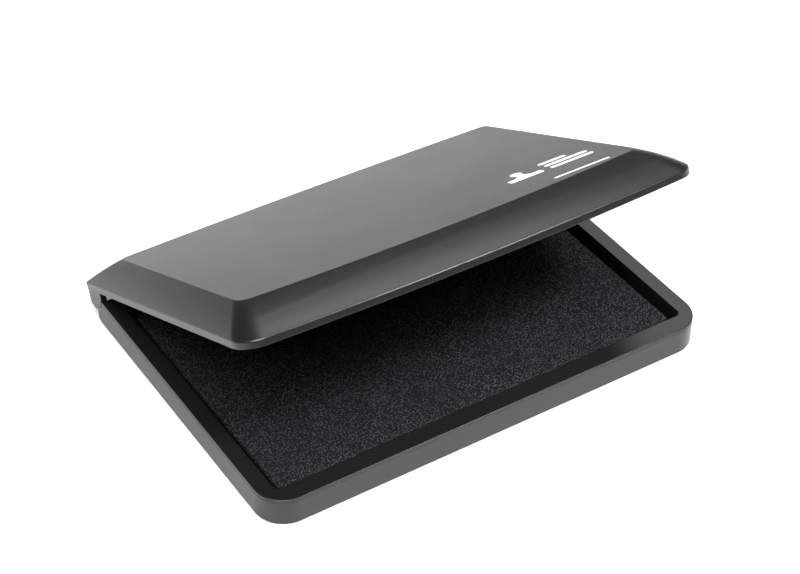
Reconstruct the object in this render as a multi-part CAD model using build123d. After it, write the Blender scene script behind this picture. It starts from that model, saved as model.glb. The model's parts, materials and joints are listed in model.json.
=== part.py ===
from build123d import *
import os
from math import atan2, sin

# A stamp pad in a flat plastic case: a felt pad under a cloth cover, in a shallow base, with a lid
# that is hinged along the rear edge. Millimetres. The origin is the middle of the base's underside,
# +Z is up, the hinge is along X at the rear (+Y) and the lid opens at the front (-Y).

# ---- The pad -------------------------------------------------------------------------------------
PAD_LENGTH = 110.0  # nominal stamping area, along X
PAD_WIDTH = 70.0  # nominal stamping area, along Y
PAD_TOP_BELOW_RIM = 2.0
PAD_CORNER_R = 1.2
CLOTH_THICKNESS = 0.5
LAYER_GAP = 0.02  # between one layer of the pad and the next
FELT_THICKNESS = 1.5
CARRIER_THICKNESS = 0.8
CLOTH_EDGE_R = 0.45

# ---- The base ------------------------------------------------------------------------------------
PAD_GAP = 1.8  # between the pad and the recess wall, all round
SIDE_RIM = 3.9
END_RIM = 4.7  # front and rear
RIM_TOP = 7.3  # height of the base
FRAME_EDGE = 0.7  # the part of that height that belongs to the rim frame
FRAME_SKIRT = 1.2  # wall of the frame that goes down round the pad
FRONT_CORNER_R = 7.5
LIP_CORNER_R = 1.2
RECESS_CORNER_R = 1.5
TRAY_WALL = 1.3
TRAY_FLOOR = 1.2
REAR_FOOT_R = 3.4  # roundness of the base's rear lower edge
REAR_FOOT_START = 0.45  # where that roundness starts, behind the rim's rear edge
REAR_LIP = 3.5  # how far the base's lower edge stands out behind the rim
REAR_LIP_HEIGHT = 1.9
BOTTOM_EDGE_R = 0.2
RIM_EDGE_R = 0.25
GROOVE_HEIGHT = 0.15  # shadow line between the tray and the rim frame
GROOVE_DEPTH = 0.3
ASSEMBLY_GAP = 0.05

# ---- The hinge -----------------------------------------------------------------------------------
HINGE_BEHIND_RIM = 5.2  # pivot behind the rim's rear edge
HINGE_ABOVE_RIM = 0.3
EAR_THICKNESS = 1.55
EAR_R = 5.0  # round end of the lid's ear, about the pivot and again below the rear edge
SEAT_R = 5.3  # the base's rear face, hollowed round the pivot
SEAT_END_DEG = 235.0  # where that hollow ends, about the pivot
PEG_R = 1.0
PEG_BOSS_R = 2.0
PEG_BOSS_LENGTH = 0.8
PEG_INNER_X = 52.2  # end of the peg, from the middle
LUG_HOLE_R = 1.05
LUG_R = 1.75
LUG_OUTER_X = 55.9
LUG_WIDTH = 4.5
LUG_ROOT_TOP = 6.2
LUG_ROOT_BOTTOM = 4.9
LUG_ROOT_DEPTH = 0.4

# ---- The lid, measured closed --------------------------------------------------------------------
LID_OPEN_DEG = 26.0  # the lid as it is drawn and stored
LID_SEAT_GAP = 0.1  # between the closed lid's edge and the rim
LID_WALL = 1.2
LID_RIM_HEIGHT = 1.8  # straight edge of the lid
LID_TOP_ABOVE_RIM = 6.9
LID_REAR_BEHIND_HINGE = 4.1
LID_FRONT_BOW = 3.15  # how far the front edge stands out at its middle, as a thumb lip
LID_FRONT_CORNER_R = 6.4
LID_REAR_CORNER_R = 1.6
PANEL_FRONT_INSET = 13.0
PANEL_SIDE_INSET = 7.0
PANEL_REAR_INSET = 10.7
PANEL_FRONT_BOW = 3.3
PANEL_REAR_BOW = 1.3
PANEL_CORNER_R = 3.4
BEVEL_CROWN = 0.4  # how far the front and side bevels bulge out, at their middle
REAR_BEVEL_CROWN = 0.1
LID_EDGE_R = 0.45  # where the bevels meet the straight edge
SEAL_RIB = 0.8  # rib under the lid that closes the gap round the pad
SEAL_RIB_DEPTH = 1.1  # how far it reaches below the rim
SEAL_RIB_CORNER_R = 1.2
WALL_DROP = 0.62  # inner shoulder below the outer one, as a share of the wall
NOTCH_WIDTH = 6.0  # cut-outs in the lid's rear edge that pass the lugs

# ---- Worked-out sizes ----------------------------------------------------------------------------
RECESS_LENGTH = PAD_LENGTH + 2 * PAD_GAP
RECESS_WIDTH = PAD_WIDTH + 2 * PAD_GAP
BASE_LENGTH = RECESS_LENGTH + 2 * SIDE_RIM
BASE_WIDTH = RECESS_WIDTH + 2 * END_RIM
HALF_LENGTH = BASE_LENGTH / 2
FRONT_Y = -BASE_WIDTH / 2
RIM_REAR_Y = BASE_WIDTH / 2
HINGE_Y = RIM_REAR_Y + HINGE_BEHIND_RIM
HINGE_Z = RIM_TOP + HINGE_ABOVE_RIM
TRAY_TOP = RIM_TOP - FRAME_EDGE
PAD_BOTTOM = TRAY_FLOOR + LAYER_GAP
PAD_TOP = RIM_TOP - PAD_TOP_BELOW_RIM
CARRIER_TOP = PAD_BOTTOM + CARRIER_THICKNESS
FELT_TOP = PAD_TOP - CLOTH_THICKNESS - LAYER_GAP
FELT_BOTTOM = FELT_TOP - FELT_THICKNESS
LID_BOTTOM = RIM_TOP + LID_SEAT_GAP
LID_SHOULDER = RIM_TOP + LID_RIM_HEIGHT
LID_TOP = RIM_TOP + LID_TOP_ABOVE_RIM
LID_REAR_Y = HINGE_Y + LID_REAR_BEHIND_HINGE
BEVEL_HEIGHT = LID_TOP - LID_SHOULDER


def plate(length, width, corner_r, bottom, top):
    """A flat block with rounded corners, centred on the base, between two heights."""
    outline = RectangleRounded(length, width, corner_r)
    return extrude(Pos(0, 0, bottom) * outline, top - bottom)


def span(first_y, last_y, first_z, last_z):
    """A rectangle in the side view."""
    middle = Pos((first_y + last_y) / 2, (first_z + last_z) / 2)
    return middle * Rectangle(last_y - first_y, last_z - first_z)


def round_at_hinge(radius):
    """A circle about the hinge axis in the side view."""
    return Pos(HINGE_Y, HINGE_Z) * Circle(radius)


def along_x(side_view, first_x, last_x):
    """A side view carried along the length, between two places."""
    start = Plane.YZ.offset(min(first_x, last_x))
    return extrude(start * side_view, abs(last_x - first_x))


# ---- The base ------------------------------------------------------------------------------------
def base_block(bottom, top):
    """The whole base between two heights, with its large front corners and rounded rear foot."""
    rear_y = RIM_REAR_Y + REAR_LIP
    plan = Pos(0, (FRONT_Y + rear_y) / 2, bottom) * Rectangle(BASE_LENGTH, rear_y - FRONT_Y)
    plan = fillet(plan.vertices().sort_by(Axis.Y)[:2], FRONT_CORNER_R)
    plan = fillet(plan.vertices().sort_by(Axis.Y)[-2:], LIP_CORNER_R)
    foot_y = RIM_REAR_Y + REAR_FOOT_START
    side_view = span(FRONT_Y, foot_y, 0, RIM_TOP)
    side_view += Pos(foot_y, REAR_FOOT_R) * Circle(REAR_FOOT_R)
    side_view -= round_at_hinge(SEAT_R)
    seat_end = Vector(HINGE_Y, HINGE_Z) + Vector(SEAT_R, 0).rotate(Axis.Z, SEAT_END_DEG)
    above_lip = [
        (seat_end.X, seat_end.Y),
        (rear_y, REAR_LIP_HEIGHT),
        (HINGE_Y, REAR_LIP_HEIGHT),
        (HINGE_Y, HINGE_Z),
        (seat_end.X, HINGE_Z),
    ]
    side_view -= Polygon(*above_lip, align=None)
    return extrude(plan, top - bottom) & along_x(side_view, -HALF_LENGTH, HALF_LENGTH)


def hinge_lug(side):
    """A tongue from the tray's rear wall, with an eye at its end for the lid's peg."""
    root_y = RIM_REAR_Y - LUG_ROOT_DEPTH / 2
    root = span(root_y - LUG_ROOT_DEPTH, root_y, LUG_ROOT_BOTTOM, LUG_ROOT_TOP)
    outline = make_hull((root + round_at_hinge(LUG_R)).edges())
    outline -= round_at_hinge(LUG_HOLE_R)
    return along_x(outline, side * LUG_OUTER_X, side * (LUG_OUTER_X - LUG_WIDTH))


def base_tray():
    """Floor, outer walls, rear foot and hinge lugs, in one moulding."""
    body = base_block(0, TRAY_TOP)
    bottom_edges = body.edges().filter_by_position(Axis.Z, 0, 0)
    body = fillet(bottom_edges.filter_by(lambda edge: edge.center().Y < RIM_REAR_Y), BOTTOM_EDGE_R)
    body -= plate(
        BASE_LENGTH - 2 * TRAY_WALL,
        BASE_WIDTH - 2 * TRAY_WALL,
        FRONT_CORNER_R - TRAY_WALL,
        TRAY_FLOOR,
        RIM_TOP,
    )
    groove = base_block(TRAY_TOP - GROOVE_HEIGHT, TRAY_TOP)
    groove -= plate(
        BASE_LENGTH - 2 * GROOVE_DEPTH,
        BASE_WIDTH - 2 * GROOVE_DEPTH,
        FRONT_CORNER_R - GROOVE_DEPTH,
        0,
        RIM_TOP,
    )
    body -= groove
    for side in (-1, 1):
        body += hinge_lug(side)
    return body


def rim_frame():
    """The flat rim and the wall that goes down round the pad, in one moulding."""
    rim = base_block(TRAY_TOP, RIM_TOP)
    top_edges = rim.edges().filter_by_position(Axis.Z, RIM_TOP, RIM_TOP)
    rim = fillet(top_edges, RIM_EDGE_R)
    rim += plate(
        RECESS_LENGTH + 2 * FRAME_SKIRT,
        RECESS_WIDTH + 2 * FRAME_SKIRT,
        RECESS_CORNER_R + FRAME_SKIRT,
        TRAY_FLOOR + ASSEMBLY_GAP,
        TRAY_TOP,
    )
    return rim - plate(RECESS_LENGTH, RECESS_WIDTH, RECESS_CORNER_R, 0, LID_TOP)


# ---- The pad -------------------------------------------------------------------------------------
def pad_layer(bottom, top):
    """A layer inside the cover cloth."""
    border = 2 * (CLOTH_THICKNESS + LAYER_GAP)
    return plate(PAD_LENGTH - border, PAD_WIDTH - border, PAD_CORNER_R, bottom, top)


def pad_cloth():
    """The cover, drawn over the layers and down their sides."""
    outside = plate(PAD_LENGTH, PAD_WIDTH, PAD_CORNER_R, PAD_BOTTOM, PAD_TOP)
    outside = fillet(outside.edges().filter_by_position(Axis.Z, PAD_TOP, PAD_TOP), CLOTH_EDGE_R)
    inside = plate(
        PAD_LENGTH - 2 * CLOTH_THICKNESS,
        PAD_WIDTH - 2 * CLOTH_THICKNESS,
        PAD_CORNER_R,
        0,
        PAD_TOP - CLOTH_THICKNESS,
    )
    return outside - inside


# ---- The lid, modelled closed ----------------------------------------------------------------------
def bowed_edge(first_x, last_x, y, bow):
    """A long edge that stands out by the bow at its middle, or a straight one."""
    if bow == 0:
        return Line((first_x, y), (last_x, y))
    return ThreePointArc((first_x, y), (0, y + bow), (last_x, y))


def lid_outline(inset_front, inset_side, inset_rear, corner_r, front_bow, rear_bow, height):
    """The lid's plan at one height, drawn in from its outer edge, with a bowed front."""
    half = HALF_LENGTH - inset_side
    front = FRONT_Y + inset_front
    rear = LID_REAR_Y - inset_rear
    front_edge = bowed_edge(-half, half, front, -front_bow)
    rear_edge = bowed_edge(half, -half, rear, rear_bow)
    sides = [Line((half, front), (half, rear)), Line((-half, rear), (-half, front))]
    plan = make_face([front_edge, sides[0], rear_edge, sides[1]])
    plan = fillet(plan.vertices().sort_by(Axis.Y)[:2], corner_r)
    plan = fillet(plan.vertices().sort_by(Axis.Y)[-2:], LID_REAR_CORNER_R)
    return Pos(0, 0, height) * plan


def bevel_inset(run, crown, wall, share):
    """How far a crowned bevel has come in at a share of its height, or a wall inside it."""
    slope = atan2(BEVEL_HEIGHT, run)
    bulge = 4 * crown * share * (1 - share)
    return run * share + (wall - bulge) / sin(slope)


def bevel_outline(wall, height):
    """The plan through all four bevels at a height between the straight edge and the panel."""
    share = (height - LID_SHOULDER) / BEVEL_HEIGHT
    return lid_outline(
        bevel_inset(PANEL_FRONT_INSET, BEVEL_CROWN, wall, share),
        bevel_inset(PANEL_SIDE_INSET, BEVEL_CROWN, wall, share),
        bevel_inset(PANEL_REAR_INSET, REAR_BEVEL_CROWN, wall, share),
        LID_FRONT_CORNER_R + (PANEL_CORNER_R - LID_FRONT_CORNER_R) * share,
        LID_FRONT_BOW + (PANEL_FRONT_BOW - LID_FRONT_BOW) * share,
        PANEL_REAR_BOW * share,
        height,
    )


def lid_block(wall, bottom):
    """The lid as a full block, or, with a wall thickness, the hollow inside it."""
    shoulder = LID_SHOULDER - WALL_DROP * wall
    top = LID_TOP - wall
    corner_r = LID_FRONT_CORNER_R - wall
    edge = lid_outline(wall, wall, wall, corner_r, LID_FRONT_BOW, 0, shoulder)
    middle = bevel_outline(wall, (shoulder + top) / 2)
    panel = bevel_outline(wall, top)
    return extrude(edge, bottom - shoulder) + loft([edge, middle, panel])


def seal_rib():
    """The rib that hangs into the gap round the pad and keeps it from drying out."""
    clearance = PAD_GAP - SEAL_RIB
    bottom = RIM_TOP - SEAL_RIB_DEPTH
    outside = plate(RECESS_LENGTH - clearance, RECESS_WIDTH - clearance, SEAL_RIB_CORNER_R, bottom, LID_TOP)
    border = clearance + 2 * SEAL_RIB
    inside = plate(RECESS_LENGTH - border, RECESS_WIDTH - border, SEAL_RIB_CORNER_R / 2, bottom, LID_TOP)
    return outside - inside


def hinge_ear(side):
    """A rounded ear on the lid's end, with its moulded peg and the boss that the peg stands on."""
    outline = round_at_hinge(EAR_R) & span(0, LID_REAR_Y, 0, LID_SHOULDER)
    outline &= Pos(LID_REAR_Y - EAR_R, RIM_TOP) * Circle(EAR_R) + span(0, LID_REAR_Y, RIM_TOP, LID_SHOULDER)
    inner_x = side * (HALF_LENGTH - EAR_THICKNESS)
    ear = along_x(outline, inner_x, side * HALF_LENGTH)
    ear += along_x(round_at_hinge(PEG_BOSS_R), inner_x, inner_x - side * PEG_BOSS_LENGTH)
    return ear + along_x(round_at_hinge(PEG_R), inner_x, side * PEG_INNER_X)


def lug_notch(side):
    """The room that a lug needs when the lid lies flat open."""
    middle_x = side * (LUG_OUTER_X - LUG_WIDTH / 2)
    view = span(HINGE_Y, LID_REAR_Y + LID_WALL, 0, LID_TOP)
    return along_x(view, middle_x - NOTCH_WIDTH / 2, middle_x + NOTCH_WIDTH / 2)


def lid_shell():
    """Top, bevels, straight edge, seal rib, ears and pegs, in one moulding, opened as stored."""
    outside = lid_block(0, LID_BOTTOM)
    shoulder_edges = outside.edges().filter_by_position(Axis.Z, LID_SHOULDER, LID_SHOULDER)
    outside = fillet(shoulder_edges, LID_EDGE_R)
    lid = outside - lid_block(LID_WALL, LID_BOTTOM - LID_WALL)
    lid += seal_rib() & lid_block(0, 0)
    for side in (-1, 1):
        lid += hinge_ear(side) & lid_block(0, 0)
        lid -= lug_notch(side)
    pivot = Pos(0, HINGE_Y, HINGE_Z)
    return pivot * Rot(-LID_OPEN_DEG, 0, 0) * pivot.inverse() * lid


NODES = {
    "base_tray": base_tray(),
    "rim_frame": rim_frame(),
    "pad_carrier": pad_layer(PAD_BOTTOM, CARRIER_TOP),
    "pad_foam": pad_layer(CARRIER_TOP + LAYER_GAP, FELT_BOTTOM - LAYER_GAP),
    "pad_felt": pad_layer(FELT_BOTTOM, FELT_TOP),
    "pad_cloth": pad_cloth(),
    "lid_shell": lid_shell(),
}

os.makedirs("parts", exist_ok=True)
for name, shape in NODES.items():
    export_step(shape, f"parts/{name}.step")
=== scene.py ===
# %% [markdown]
# # An ink pad in a hinged plastic case
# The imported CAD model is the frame: every plastic part already has its place and its true size.
# This lesson adds what CAD cannot say, which is how black moulded plastic, inked cloth and a white
# printed mark look, and it builds the soft pad as a mesh of its own.

# %% Load the frame
import json
import math

import bmesh
import bpy
from mathutils import Matrix, Vector, noise


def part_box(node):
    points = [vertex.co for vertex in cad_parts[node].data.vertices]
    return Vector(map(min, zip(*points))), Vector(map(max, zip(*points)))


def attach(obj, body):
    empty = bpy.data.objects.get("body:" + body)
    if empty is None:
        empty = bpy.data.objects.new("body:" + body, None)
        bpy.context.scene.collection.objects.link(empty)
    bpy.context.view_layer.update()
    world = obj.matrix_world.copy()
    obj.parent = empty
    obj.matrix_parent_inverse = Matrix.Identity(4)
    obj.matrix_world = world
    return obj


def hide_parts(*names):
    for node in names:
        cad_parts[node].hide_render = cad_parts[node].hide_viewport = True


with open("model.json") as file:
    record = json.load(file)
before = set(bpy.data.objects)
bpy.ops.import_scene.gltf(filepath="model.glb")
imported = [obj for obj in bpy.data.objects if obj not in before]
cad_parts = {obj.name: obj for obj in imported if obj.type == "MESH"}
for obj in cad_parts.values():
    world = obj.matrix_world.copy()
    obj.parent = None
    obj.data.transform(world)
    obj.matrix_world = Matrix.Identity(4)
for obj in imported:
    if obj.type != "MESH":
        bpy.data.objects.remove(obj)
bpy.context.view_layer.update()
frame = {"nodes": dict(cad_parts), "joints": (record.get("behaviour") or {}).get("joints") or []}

nodes = frame["nodes"]
MM = 0.001

# %% [markdown]
# The lid is stored partly open. Its hinge gives the pivot, and the lowest end of the hinge's range is
# the closed lid, so that number is also how far open the lid stands. Things that lie on the lid are
# drawn as if it were closed and flat, and then turned with this one matrix.

# %% Where the lid is
hinge = frame["joints"][0]
pivot = Vector(hinge["pos_m"])
hinge_axis = Vector(hinge["axis"])
open_angle = math.radians(-hinge["range_deg"][0])
open_lid = Matrix.Translation(pivot) @ Matrix.Rotation(open_angle, 4, hinge_axis) @ Matrix.Translation(-pivot)
print("lid stands open by", round(math.degrees(open_angle), 1), "degrees")

# %% [markdown]
# Colours are written the way a paint program shows them, as sRGB hex. Shaders want linear light, so
# one function turns one into the other.

# %% Colour and node helpers
def linear(hex_colour):
    """An sRGB hex colour as linear red, green, blue and alpha."""
    channels = [int(hex_colour[i:i + 2], 16) / 255 for i in (1, 3, 5)]
    bent = [c / 12.92 if c <= 0.04045 else ((c + 0.055) / 1.055) ** 2.4 for c in channels]
    return (*bent, 1.0)


def add_node(tree, kind, settings=None, inputs=None):
    """Adds a node, sets its properties, and fills or links its inputs by name or number."""
    node = tree.nodes.new(kind)
    for name, value in (settings or {}).items():
        setattr(node, name, value)
    for name, value in (inputs or {}).items():
        if isinstance(value, bpy.types.NodeSocket):
            tree.links.new(value, node.inputs[name])
        else:
            node.inputs[name].default_value = value
    return node


def new_material(name):
    """An empty material with its shader, and coordinates that stay with the piece, in metres."""
    material = bpy.data.materials.new(name)
    material.use_nodes = True
    tree = material.node_tree
    shader = tree.nodes["Principled BSDF"]
    place = add_node(tree, "ShaderNodeTexCoord").outputs["Object"]
    return material, tree, shader, place


def per_metre(size_mm):
    """The texture scale that repeats a pattern once in so many millimetres."""
    return 1 / (size_mm * MM)


# %% [markdown]
# ## Black ABS, spark-eroded
# The case is injection-moulded ABS. The steel mould was finished by spark erosion, which leaves tiny
# craters a tenth of a millimetre or so across, and they print on the plastic as a fine, even satin.
# That satin is what the eye reads: no mirror images, but long soft reflections that brighten towards
# grazing angles. The craters are too fine to show at arm's length, so they are drawn at 0.35 mm and
# kept very shallow. Slower waves of 9 mm stand for the slight sink of thin moulded walls, and a
# cloudy roughness over 14 mm stands for handling. A Bevel node rounds the moulded edges by a
# quarter of a millimetre, which catches the light as a thin line, as a real mould's edges do.

# %% Moulded black ABS
SPARK_GRAIN_MM = 0.35
SINK_WAVE_MM = 9.0
SINK_DEPTH_MM = 0.004
HANDLING_MM = 14.0
MOULD_EDGE_MM = 0.25


def moulded_abs(name, colour, roughness, grain_depth):
    """Spark-eroded ABS in one colour."""
    material, tree, shader, place = new_material(name)
    grain = add_node(tree, "ShaderNodeTexNoise", {}, {
        "Vector": place, "Scale": per_metre(SPARK_GRAIN_MM), "Detail": 3.0, "Roughness": 0.6})
    sink = add_node(tree, "ShaderNodeTexNoise", {}, {
        "Vector": place, "Scale": per_metre(SINK_WAVE_MM), "Detail": 1.0})
    handling = add_node(tree, "ShaderNodeTexNoise", {}, {
        "Vector": place, "Scale": per_metre(HANDLING_MM), "Detail": 4.0, "Roughness": 0.55})
    edge = add_node(tree, "ShaderNodeBevel", {"samples": 6}, {"Radius": MOULD_EDGE_MM * MM})
    wavy = add_node(tree, "ShaderNodeBump", {}, {
        "Height": sink.outputs["Fac"], "Distance": SINK_DEPTH_MM * MM, "Strength": 1.0,
        "Normal": edge.outputs["Normal"]})
    grained = add_node(tree, "ShaderNodeBump", {}, {
        "Height": grain.outputs["Fac"], "Distance": grain_depth * MM, "Strength": 1.0,
        "Normal": wavy.outputs["Normal"]})
    satin = add_node(tree, "ShaderNodeMapRange", {}, {
        "Value": handling.outputs["Fac"], "From Min": 0.3, "From Max": 0.7,
        "To Min": roughness - 0.012, "To Max": roughness + 0.012})
    tint = add_node(tree, "ShaderNodeMixRGB", {}, {
        "Fac": grain.outputs["Fac"], "Color1": linear(colour[0]), "Color2": linear(colour[1])})
    tree.links.new(tint.outputs["Color"], shader.inputs["Base Color"])
    tree.links.new(satin.outputs["Result"], shader.inputs["Roughness"])
    tree.links.new(grained.outputs["Normal"], shader.inputs["Normal"])
    shader.inputs["IOR"].default_value = 1.53
    return material


case_abs = moulded_abs("Black ABS, spark-eroded", ("#101011", "#151516"), 0.33, 0.004)
for part in ("base_tray", "rim_frame", "lid_shell"):
    nodes[part].data.materials.clear()
    nodes[part].data.materials.append(case_abs)
    print(part, "is", case_abs.name)

# %% [markdown]
# ## The parts inside the pad
# Under the cover cloth lie a felt, a foam that stores the ink, and a stiff carrier sheet. They are
# hidden when the pad is whole, but they are real parts, so each gets its own finish: felt is pressed
# fibre with no weave, foam is open cells, and the carrier is a plain polystyrene sheet.

# %% Inked felt, inked foam and carrier sheet
FELT_FIBRE_MM = 0.6
FOAM_CELL_MM = 0.8
SHEET_GRAIN_MM = 1.5


def inked_layer(name, colours, pattern, size_mm, depth_mm, roughness):
    """A layer whose surface follows one pattern, in colour and in relief."""
    material, tree, shader, place = new_material(name)
    surface = add_node(tree, pattern, {}, {"Vector": place, "Scale": per_metre(size_mm)})
    height = surface.outputs[0]
    tint = add_node(tree, "ShaderNodeMixRGB", {}, {
        "Fac": height, "Color1": linear(colours[0]), "Color2": linear(colours[1])})
    relief = add_node(tree, "ShaderNodeBump", {}, {"Height": height, "Distance": depth_mm * MM})
    tree.links.new(tint.outputs["Color"], shader.inputs["Base Color"])
    tree.links.new(relief.outputs["Normal"], shader.inputs["Normal"])
    shader.inputs["Roughness"].default_value = roughness
    return material


layers = {
    "pad_felt": inked_layer("Wool felt, inked", ("#0a0a0c", "#17171a"), "ShaderNodeTexNoise",
                            FELT_FIBRE_MM, 0.08, 0.9),
    "pad_foam": inked_layer("Open-cell foam, inked", ("#060607", "#1b1b1e"), "ShaderNodeTexVoronoi",
                            FOAM_CELL_MM, 0.15, 0.8),
    "pad_carrier": inked_layer("Polystyrene sheet", ("#2a2a2c", "#303032"), "ShaderNodeTexNoise",
                               SHEET_GRAIN_MM, 0.01, 0.45),
}
for part, finish in layers.items():
    nodes[part].data.materials.clear()
    nodes[part].data.materials.append(finish)
    print(part, "is", finish.name)

# %% [markdown]
# ## The cover cloth
# The stamping surface is a fine, dense knit drawn tight over the layers. Soaked with black ink it is
# nearly black; the tops of its loops are painted pale as a painted highlight and the pits between them
# dark as painted shade, so it looks like a dark grain with pale specks. The loops stand 0.45 mm apart.
# A Voronoi pattern at that spacing gives the loops, a finer noise breaks them up, and a coarser cloud
# makes some areas wetter than others, where the painted highlight is weaker.

# %% Inked knit cloth
LOOP_MM = 0.45
FIBRE_MM = 0.22
WET_PATCH_MM = 16.0


def inked_knit():
    """Black knit cover cloth, with a painted highlight on its loop tops."""
    material, tree, shader, place = new_material("Polyester knit, inked")
    loops = add_node(tree, "ShaderNodeTexVoronoi", {"feature": "F1"}, {
        "Vector": place, "Scale": per_metre(LOOP_MM), "Randomness": 0.95})
    fibres = add_node(tree, "ShaderNodeTexNoise", {}, {
        "Vector": place, "Scale": per_metre(FIBRE_MM), "Detail": 3.0, "Roughness": 0.7})
    wet = add_node(tree, "ShaderNodeTexNoise", {}, {
        "Vector": place, "Scale": per_metre(WET_PATCH_MM), "Detail": 3.0})
    crown = add_node(tree, "ShaderNodeMapRange", {}, {
        "Value": loops.outputs["Distance"], "From Min": 0.05, "From Max": 0.6,
        "To Min": 1.0, "To Max": 0.0})
    broken = add_node(tree, "ShaderNodeMath", {"operation": "MULTIPLY"}, {
        0: crown.outputs["Result"], 1: fibres.outputs["Fac"]})
    # Painted highlight: pale on the loop tops, which leaves the pits between them dark as painted shade.
    painted_loop_highlight = add_node(tree, "ShaderNodeMapRange", {"interpolation_type": "SMOOTHSTEP"}, {
        "Value": broken.outputs["Value"], "From Min": 0.08, "From Max": 0.46,
        "To Min": 0.0, "To Max": 1.0})
    drier = add_node(tree, "ShaderNodeMapRange", {}, {
        "Value": wet.outputs["Fac"], "From Min": 0.3, "From Max": 0.7, "To Min": 0.6, "To Max": 1.0})
    painted_highlight_and_wetness = add_node(tree, "ShaderNodeMath", {"operation": "MULTIPLY"}, {
        0: painted_loop_highlight.outputs["Result"], 1: drier.outputs["Result"]})
    # The dark colour is the inked cloth; the pale colour is the painted highlight on the loop tops.
    tint = add_node(tree, "ShaderNodeMixRGB", {}, {
        "Fac": painted_highlight_and_wetness.outputs["Value"], "Color1": linear("#121214"), "Color2": linear("#4e4e52")})
    relief = add_node(tree, "ShaderNodeBump", {}, {
        "Height": broken.outputs["Value"], "Distance": 0.18 * MM, "Strength": 0.9})
    tree.links.new(tint.outputs["Color"], shader.inputs["Base Color"])
    tree.links.new(relief.outputs["Normal"], shader.inputs["Normal"])
    shader.inputs["Roughness"].default_value = 0.85
    shader.inputs["Specular IOR Level"].default_value = 0.12
    return material


knit = inked_knit()
print("cover is", knit.name)

# %% [markdown]
# The pad could be the plain CAD block, but a stretched cover is never flat: it is a little crowned in
# the middle, its edges roll over the layers, its sides draw in between the corners, and it follows
# the felt's slight unevenness. So it is built as a grid whose lines crowd towards the edges, where the
# roll is, and then thickened inwards into a real sheet of cloth.

# %% Pad cover as a mesh
EDGE_ROLL = 0.7 * MM
CROWN = 0.14 * MM
PULL_IN = 0.18 * MM
CORNER_R = 1.4 * MM
UNEVEN = 0.05 * MM
UNEVEN_PATCH = 11 * MM
CLOTH_THICK = 0.3 * MM
GRID_STEP = 1.0 * MM
ROLL_STEPS = 7
SAME_POINT = 0.01 * MM


def crowded_line(half):
    """Places along one direction: steps of the roll near both ends, even steps between."""
    roll = [half - EDGE_ROLL * (1 - math.cos(math.pi / 2 * i / ROLL_STEPS)) for i in range(ROLL_STEPS + 1)]
    inner = roll[-1]
    count = int(2 * inner / GRID_STEP)
    even = [-inner + 2 * inner * i / count for i in range(1, count)]
    return [-x for x in roll] + even + roll[::-1]


def inside_corner(x, y, half_x, half_y):
    """Moves a point that is outside the rounded corner onto it, and says how far in it lies."""
    dx = abs(x) - (half_x - CORNER_R)
    dy = abs(y) - (half_y - CORNER_R)
    if dx > 0 and dy > 0:
        reach = math.hypot(dx, dy)
        if reach > CORNER_R:
            x = math.copysign(half_x - CORNER_R + dx * CORNER_R / reach, x)
            y = math.copysign(half_y - CORNER_R + dy * CORNER_R / reach, y)
        return x, y, max(CORNER_R - reach, 0)
    return x, y, CORNER_R - max(dx, dy)


def pad_cover(low, high):
    """The cover cloth over a pad that fills the box from low to high."""
    half_x, half_y = (high.x - low.x) / 2, (high.y - low.y) / 2
    middle = (low + high) / 2
    mesh = bmesh.new()
    rows = []
    for gy in crowded_line(half_y):
        row = []
        for gx in crowded_line(half_x):
            x, y, depth = inside_corner(gx, gy, half_x, half_y)
            u, v = x / half_x, y / half_y
            roll = EDGE_ROLL - math.sqrt(max(EDGE_ROLL ** 2 - max(EDGE_ROLL - depth, 0) ** 2, 0))
            crown = CROWN * (1 - u ** 4) * (1 - v ** 4)
            bump = UNEVEN * noise.noise(Vector((x, y, 0)) / UNEVEN_PATCH)
            x -= math.copysign(PULL_IN * (1 - v * v), x) * u * u
            y -= math.copysign(PULL_IN * (1 - u * u), y) * v * v
            row.append(mesh.verts.new((middle.x + x, middle.y + y, high.z + crown + bump - roll)))
        rows.append(row)
    for lower, upper in zip(rows, rows[1:]):
        for i in range(len(lower) - 1):
            mesh.faces.new((lower[i], lower[i + 1], upper[i + 1], upper[i]))
    rim = [e for e in mesh.edges if e.is_boundary]
    skirt = bmesh.ops.extrude_edge_only(mesh, edges=rim)
    for vert in (v for v in skirt["geom"] if isinstance(v, bmesh.types.BMVert)):
        vert.co.z = low.z
    bmesh.ops.remove_doubles(mesh, verts=mesh.verts, dist=SAME_POINT)
    bmesh.ops.recalc_face_normals(mesh, faces=mesh.faces)
    data = bpy.data.meshes.new("pad_cover")
    mesh.to_mesh(data)
    mesh.free()
    data.shade_smooth()
    return data


cover = bpy.data.objects.new("pad_cover", pad_cover(*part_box("pad_cloth")))
bpy.context.scene.collection.objects.link(cover)
sheet = cover.modifiers.new("cloth thickness", "SOLIDIFY")
sheet.thickness = CLOTH_THICK
sheet.offset = -1
cover.data.materials.append(knit)
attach(cover, "base")
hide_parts("pad_cloth")
print("pad_cover has", len(cover.data.vertices), "points")

# %% [markdown]
# ## The printed mark
# The lid carries a small white mark near its front right corner, put on by pad printing: a silicone
# pad lifts ink from an etched plate and lays it down as a film a few hundredths of a millimetre thick.
# This one is a plain pictogram with no lettering: a hand stamp, three ruled lines beside it and one
# thin line below. Each shape is an outline drawn on the closed lid, in millimetres from the middle of
# the base, made into a thin closed film, and turned up with the lid.

# %% White pad-printing ink
INK_SPECKLE_MM = 0.4


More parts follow.
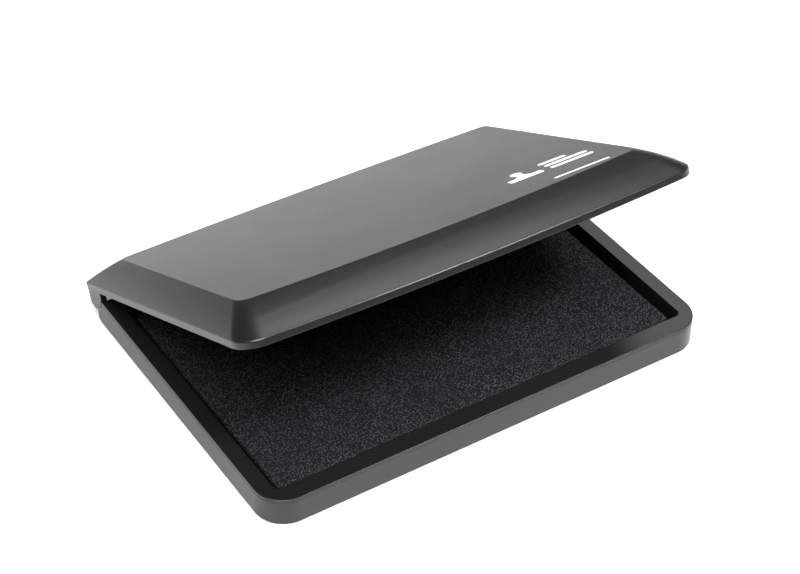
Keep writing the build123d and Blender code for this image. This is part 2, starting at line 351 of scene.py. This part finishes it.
def printing_ink():
    """Opaque white ink, a little uneven where the silicone pad lifted."""
    material, tree, shader, place = new_material("White pad-printing ink")
    speckle = add_node(tree, "ShaderNodeTexNoise", {}, {
        "Vector": place, "Scale": per_metre(INK_SPECKLE_MM), "Detail": 2.0})
    tint = add_node(tree, "ShaderNodeMixRGB", {}, {
        "Fac": speckle.outputs["Fac"], "Color1": linear("#e8e8e6"), "Color2": linear("#fbfbfa")})
    relief = add_node(tree, "ShaderNodeBump", {}, {"Height": speckle.outputs["Fac"], "Distance": 0.004 * MM})
    tree.links.new(tint.outputs["Color"], shader.inputs["Base Color"])
    tree.links.new(relief.outputs["Normal"], shader.inputs["Normal"])
    shader.inputs["Roughness"].default_value = 0.5
    return material


white_ink = printing_ink()

# %% Outlines of the mark
FILM = 0.03 * MM
LID_TOP_CLOSED = 14.2 * MM
FILM_GAP = 0.005 * MM


def arc(centre_x, centre_y, radius, start, end, steps=10):
    """Points round part of a circle, in degrees."""
    angles = [math.radians(start + (end - start) * i / steps) for i in range(steps + 1)]
    return [(centre_x + radius * math.cos(a), centre_y + radius * math.sin(a)) for a in angles]


def rounded_bar(x, y, width, height, radius):
    """A bar with rounded ends, from its lower left corner."""
    right, top = x + width - radius, y + height - radius
    left, bottom = x + radius, y + radius
    return (arc(right, bottom, radius, -90, 0) + arc(right, top, radius, 0, 90)
            + arc(left, top, radius, 90, 180) + arc(left, bottom, radius, 180, 270))


def stamp_grip(x, y):
    """The stamp's knob and waist, standing on its block."""
    knob = arc(x, y + 3.1, 1.55, -50, 230, 20)
    return [(x + 2.2, y), (x + 0.9, y + 1.2)] + knob + [(x - 0.9, y + 1.2), (x - 2.2, y)]


mark_outlines = {
    "mark_block": rounded_bar(23.8, -19.0, 9.6, 2.2, 0.5),
    "mark_grip": stamp_grip(28.6, -16.6),
    "mark_line_1": rounded_bar(35.6, -19.0, 12.4, 1.5, 0.7),
    "mark_line_2": rounded_bar(35.6, -16.2, 12.4, 1.5, 0.7),
    "mark_line_3": rounded_bar(35.6, -13.4, 8.0, 1.5, 0.7),
    "mark_underline": rounded_bar(30.5, -27.6, 16.0, 0.9, 0.44),
}


def printed_film(name, outline):
    """One printed shape, as a thin closed film on the lid."""
    mesh = bmesh.new()
    face = mesh.faces.new([
        mesh.verts.new((x * MM, y * MM, LID_TOP_CLOSED + FILM_GAP))
        for x, y in outline])
    raised = bmesh.ops.extrude_face_region(mesh, geom=[face])
    bmesh.ops.translate(mesh, vec=(0, 0, FILM), verts=[
        v for v in raised["geom"] if isinstance(v, bmesh.types.BMVert)])
    bmesh.ops.recalc_face_normals(mesh, faces=mesh.faces)
    mesh.transform(open_lid)
    data = bpy.data.meshes.new(name)
    mesh.to_mesh(data)
    mesh.free()
    film = bpy.data.objects.new(name, data)
    bpy.context.scene.collection.objects.link(film)
    film.data.materials.append(white_ink)
    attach(film, "lid")


for name, outline in mark_outlines.items():
    printed_film(name, outline)
    print(name, "has", len(outline), "outline points")

# %% [markdown]
# ## The studio
# Black satin plastic shows almost nothing but what it reflects, so the studio is built from what each
# face sees. The lid's top sees the table far behind it, so the table must fade there. The walls see
# the table close to them, so a softbox hangs low over the front left and makes the table bright there.
# The lid's front bevel curves: its upper part sees the dim room and its lower part a second softbox,
# high behind on the right, which draws the soft gradient down the bevel. A small hard lamp on the
# front right draws the thin bright lines along the rounded edges.

# %% Floor
FLOOR_HALF = 2.5
FLOOR_DROP = 0.2 * MM


def pale_table():
    """Matt white laminate, with a faint mottle."""
    material, tree, shader, place = new_material("White laminate, matt")
    mottle = add_node(tree, "ShaderNodeTexNoise", {}, {"Vector": place, "Scale": per_metre(60), "Detail": 3.0})
    tint = add_node(tree, "ShaderNodeMixRGB", {}, {
        "Fac": mottle.outputs["Fac"], "Color1": linear("#ececec"), "Color2": linear("#f0f0ef")})
    tree.links.new(tint.outputs["Color"], shader.inputs["Base Color"])
    shader.inputs["Roughness"].default_value = 0.8
    return material


floor_mesh = bmesh.new()
bmesh.ops.create_grid(floor_mesh, x_segments=8, y_segments=8, size=FLOOR_HALF)
floor_data = bpy.data.meshes.new("floor")
floor_mesh.to_mesh(floor_data)
floor_mesh.free()
floor = bpy.data.objects.new("floor", floor_data)
bpy.context.scene.collection.objects.link(floor)
floor.location.z = -FLOOR_DROP
floor.data.materials.append(pale_table())

# %% Surrounding light
ROOM_LIGHT = 0.1


def dim_room():
    """A dim even room for the plastic to reflect, which the camera sees as a pale backdrop."""
    world = bpy.data.worlds.new("studio")
    world.use_nodes = True
    tree = world.node_tree
    tree.nodes.clear()
    lit = add_node(tree, "ShaderNodeBackground", {}, {"Color": linear("#ffffff"), "Strength": ROOM_LIGHT})
    seen = add_node(tree, "ShaderNodeBackground", {}, {"Color": linear("#f2f2f2"), "Strength": 1.0})
    ray = add_node(tree, "ShaderNodeLightPath").outputs["Is Camera Ray"]
    mixed = add_node(tree, "ShaderNodeMixShader", {}, {0: ray, 1: lit.outputs[0], 2: seen.outputs[0]})
    add_node(tree, "ShaderNodeOutputWorld", {}, {"Surface": mixed.outputs[0]})
    return world


bpy.context.scene.world = dim_room()


def softbox(name, place, size, watts):
    """A square area light that faces the pad."""
    lamp = bpy.data.lights.new(name, "AREA")
    lamp.shape = "SQUARE"
    lamp.size = size
    lamp.energy = watts
    holder = bpy.data.objects.new(name, lamp)
    bpy.context.scene.collection.objects.link(holder)
    holder.location = place
    holder.rotation_euler = (-Vector(place)).to_track_quat("-Z", "Y").to_euler()


softbox("front left softbox", (-0.35, -0.40, 0.95), 0.8, 20)
softbox("back right softbox", (0.51, 0.78, 1.18), 0.75, 6)
softbox("edge lamp", (0.42, -0.43, 0.85), 0.2, 8)

# %% [markdown]
# ## The camera
# It looks down from the front left, a little over half a metre away, through a short telephoto lens
# that keeps the long edges nearly parallel.

# %% Camera
CAMERA_PLACE = Vector((-0.2057, -0.3138, 0.3237))
CAMERA_AZIMUTH = math.radians(-33.13)
CAMERA_ELEVATION = math.radians(39.47)
CAMERA_ROLL = math.radians(0.79)
LENS_MM = 90.8

back = Vector((
    math.sin(CAMERA_AZIMUTH) * math.cos(CAMERA_ELEVATION),
    -math.cos(CAMERA_AZIMUTH) * math.cos(CAMERA_ELEVATION),
    math.sin(CAMERA_ELEVATION)))
level = Vector((math.cos(CAMERA_AZIMUTH), math.sin(CAMERA_AZIMUTH), 0))
upward = back.cross(level)
right = level * math.cos(CAMERA_ROLL) + upward * math.sin(CAMERA_ROLL)
top = upward * math.cos(CAMERA_ROLL) - level * math.sin(CAMERA_ROLL)

camera_data = bpy.data.cameras.new("camera")
camera_data.lens = LENS_MM
camera_data.clip_start = 0.01
camera = bpy.data.objects.new("camera", camera_data)
bpy.context.scene.collection.objects.link(camera)
camera.matrix_world = Matrix.Translation(CAMERA_PLACE) @ Matrix((right, top, back)).transposed().to_4x4()
bpy.context.scene.camera = camera
bpy.context.scene.view_settings.view_transform = "Standard"
